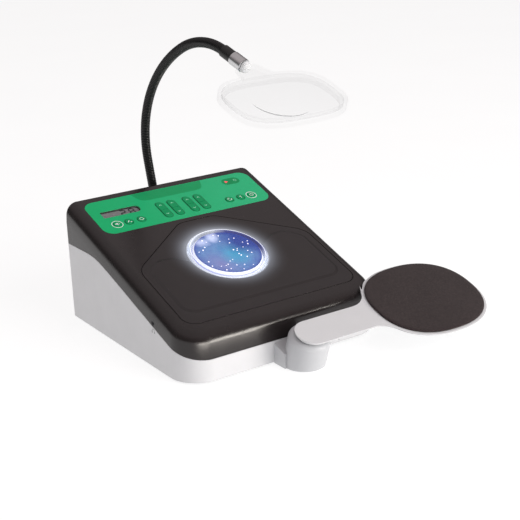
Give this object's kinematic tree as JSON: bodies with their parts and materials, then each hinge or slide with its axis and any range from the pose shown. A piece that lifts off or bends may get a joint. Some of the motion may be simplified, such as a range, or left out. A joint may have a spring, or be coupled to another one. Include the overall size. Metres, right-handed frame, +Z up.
{
  "type": "colony counter",
  "caption": "Bench colony counter: sloped housing, lit dish stage on a pressure pad, key panel with display, gooseneck magnifier and swivelling wrist rest.",
  "frame": {"origin": "centre of the whole object's footprint, on the surface that the rubber feet stand on", "axes": "+Z up, +Y towards the back of the housing, where the gooseneck is fixed, +X to the user's right, where the wrist rest reaches"},
  "size_m": [0.3542, 0.384, 0.3191],
  "materials": {
    "shell": "satin",
    "base_metal": "matt",
    "rubber": "matt",
    "screws": "satin",
    "cover": "satin",
    "panel": "satin",
    "display": "gloss",
    "electronics": "matt",
    "indicator": "gloss",
    "circuit_board": "satin",
    "domes": "satin",
    "sensor": "satin",
    "socket": "satin",
    "bush": "satin",
    "diffuser": "satin",
    "clear": "gloss",
    "agar": "gloss",
    "arm": "satin",
    "pad_fabric": "woven",
    "pin": "satin",
    "sleeve": "satin",
    "ferrule": "brushed",
    "acrylic": "gloss",
    "hose": "gloss",
    "keys": "satin"
  },
  "bodies": {
    "housing": {"base_shell": "shell", "base_plate": "base_metal", "rubber_feet": "rubber", "housing_screws": "screws", "inner_screws": "screws", "top_cover": "cover", "control_panel": "panel", "display_window": "display", "display_module": "electronics", "indicator_lens": "indicator", "keypad_board": "circuit_board", "dome_switches": "domes", "main_board": "circuit_board", "buzzer": "electronics", "chassis_plate": "base_metal", "force_sensor": "sensor", "led_board": "circuit_board", "pad_cushions": "rubber", "headphone_jack": "socket", "power_inlet": "socket", "switch_housing": "socket", "gooseneck_socket": "socket", "socket_screws": "screws", "pivot_bracket": "shell", "bracket_screws": "screws", "pivot_bush": "bush"},
    "pad": {"pressure_pad": "cover", "stage_diffuser": "diffuser", "light_ring": "diffuser"},
    "dish": {"dish_base": "clear", "dish_lid": "clear", "agar_layer": "agar"},
    "key_sound": {"key_sound": "keys"},
    "key_marker": {"key_marker": "keys"},
    "key_average": {"key_average": "keys"},
    "key_memory": {"key_memory": "keys"},
    "key_reset": {"key_reset": "keys"},
    "key_power": {"key_power": "keys"},
    "key_a_up": {"key_a_up": "keys"},
    "key_a_down": {"key_a_down": "keys"},
    "key_b_up": {"key_b_up": "keys"},
    "key_b_down": {"key_b_down": "keys"},
    "key_c_up": {"key_c_up": "keys"},
    "key_c_down": {"key_c_down": "keys"},
    "key_d_up": {"key_d_up": "keys"},
    "key_d_down": {"key_d_down": "keys"},
    "power_rocker": {"power_rocker": "socket"},
    "wrist_rest": {"arm_plate": "arm", "wrist_pad": "pad_fabric", "pivot_pin": "pin"},
    "hose_1": {"hose_section_1": "hose"},
    "hose_2": {"hose_section_2": "hose"},
    "hose_3": {"hose_section_3": "hose"},
    "hose_4": {"hose_section_4": "hose"},
    "hose_5": {"hose_section_5": "hose"},
    "hose_end": {"hose_section_6": "hose", "hose_sleeve": "sleeve", "lens_ferrule": "ferrule"},
    "magnifier": {"magnifier_frame": "acrylic", "magnifier_lens": "acrylic"}
  },
  "joints": [
    {"name": "pad_press", "type": "slide", "parent": "housing", "child": "pad", "axis": [0, 0.3223, -0.9466], "range_m": [0, 0.0008], "stiffness_N_per_m": 9000, "springref_m": -0.001, "deforming": ["pad_cushions"]},
    {"name": "dish_lift", "type": "slide", "parent": "pad", "child": "dish", "axis": [0, -0.3223, 0.9466], "range_m": [0, 0.04]},
    {"name": "key_sound_press", "type": "slide", "parent": "housing", "child": "key_sound", "axis": [0, 0.3223, -0.9466], "range_m": [0, 0.0006], "stiffness_N_per_m": 400, "springref_m": -0.0005},
    {"name": "key_marker_press", "type": "slide", "parent": "housing", "child": "key_marker", "axis": [0, 0.3223, -0.9466], "range_m": [0, 0.0006], "stiffness_N_per_m": 400, "springref_m": -0.0005},
    {"name": "key_average_press", "type": "slide", "parent": "housing", "child": "key_average", "axis": [0, 0.3223, -0.9466], "range_m": [0, 0.0006], "stiffness_N_per_m": 400, "springref_m": -0.0005},
    {"name": "key_memory_press", "type": "slide", "parent": "housing", "child": "key_memory", "axis": [0, 0.3223, -0.9466], "range_m": [0, 0.0006], "stiffness_N_per_m": 400, "springref_m": -0.0005},
    {"name": "key_reset_press", "type": "slide", "parent": "housing", "child": "key_reset", "axis": [0, 0.3223, -0.9466], "range_m": [0, 0.0006], "stiffness_N_per_m": 400, "springref_m": -0.0005},
    {"name": "key_power_press", "type": "slide", "parent": "housing", "child": "key_power", "axis": [0, 0.3223, -0.9466], "range_m": [0, 0.0006], "stiffness_N_per_m": 400, "springref_m": -0.0005},
    {"name": "key_a_up_press", "type": "slide", "parent": "housing", "child": "key_a_up", "axis": [0, 0.3223, -0.9466], "range_m": [0, 0.0006], "stiffness_N_per_m": 400, "springref_m": -0.0005},
    {"name": "key_a_down_press", "type": "slide", "parent": "housing", "child": "key_a_down", "axis": [0, 0.3223, -0.9466], "range_m": [0, 0.0006], "stiffness_N_per_m": 400, "springref_m": -0.0005},
    {"name": "key_b_up_press", "type": "slide", "parent": "housing", "child": "key_b_up", "axis": [0, 0.3223, -0.9466], "range_m": [0, 0.0006], "stiffness_N_per_m": 400, "springref_m": -0.0005},
    {"name": "key_b_down_press", "type": "slide", "parent": "housing", "child": "key_b_down", "axis": [0, 0.3223, -0.9466], "range_m": [0, 0.0006], "stiffness_N_per_m": 400, "springref_m": -0.0005},
    {"name": "key_c_up_press", "type": "slide", "parent": "housing", "child": "key_c_up", "axis": [0, 0.3223, -0.9466], "range_m": [0, 0.0006], "stiffness_N_per_m": 400, "springref_m": -0.0005},
    {"name": "key_c_down_press", "type": "slide", "parent": "housing", "child": "key_c_down", "axis": [0, 0.3223, -0.9466], "range_m": [0, 0.0006], "stiffness_N_per_m": 400, "springref_m": -0.0005},
    {"name": "key_d_up_press", "type": "slide", "parent": "housing", "child": "key_d_up", "axis": [0, 0.3223, -0.9466], "range_m": [0, 0.0006], "stiffness_N_per_m": 400, "springref_m": -0.0005},
    {"name": "key_d_down_press", "type": "slide", "parent": "housing", "child": "key_d_down", "axis": [0, 0.3223, -0.9466], "range_m": [0, 0.0006], "stiffness_N_per_m": 400, "springref_m": -0.0005},
    {"name": "power_rocker_tip", "type": "hinge", "parent": "housing", "child": "power_rocker", "pos_m": [0.03942, 0.15699, 0.042], "axis": [1, 0, 0], "range_deg": [-16, 0]},
    {"name": "wrist_rest_swivel", "type": "hinge", "parent": "housing", "child": "wrist_rest", "pos_m": [-0.04602, -0.13309, 0.04294], "axis": [0, -0.3223, 0.9466], "range_deg": [-15, 0]},
    {"name": "gooseneck_swivel", "type": "hinge", "parent": "housing", "child": "hose_1", "pos_m": [-0.04981, 0.17439, 0.11], "axis": [-0.038, 0.2051, 0.978], "range_deg": [-60, 60]},
    {"name": "gooseneck_bend_1", "type": "hinge", "parent": "hose_1", "child": "hose_2", "pos_m": [-0.05173, 0.18476, 0.16514], "axis": [-0.9833, -0.1822, 0], "range_deg": [-6, 25]},
    {"name": "gooseneck_bend_2", "type": "hinge", "parent": "hose_2", "child": "hose_3", "pos_m": [-0.05121, 0.18199, 0.21895], "axis": [-0.9833, -0.1822, 0], "range_deg": [-6, 25]},
    {"name": "gooseneck_bend_3", "type": "hinge", "parent": "hose_3", "child": "hose_4", "pos_m": [-0.0463, 0.15546, 0.26941], "axis": [-0.9833, -0.1822, 0], "range_deg": [-6, 25]},
    {"name": "gooseneck_bend_4", "type": "hinge", "parent": "hose_4", "child": "hose_5", "pos_m": [-0.03801, 0.11073, 0.30476], "axis": [-0.9833, -0.1822, 0], "range_deg": [-6, 25]},
    {"name": "gooseneck_bend_5", "type": "hinge", "parent": "hose_5", "child": "hose_end", "pos_m": [-0.03033, 0.0693, 0.31344], "axis": [-0.9833, -0.1822, 0], "range_deg": [-6, 25]},
    {"name": "magnifier_roll", "type": "hinge", "parent": "hose_end", "child": "magnifier", "pos_m": [-0.02, 0.01359, 0.29379], "axis": [0.167, -0.9011, -0.4002], "range_deg": [-45, 45]}
  ]
}
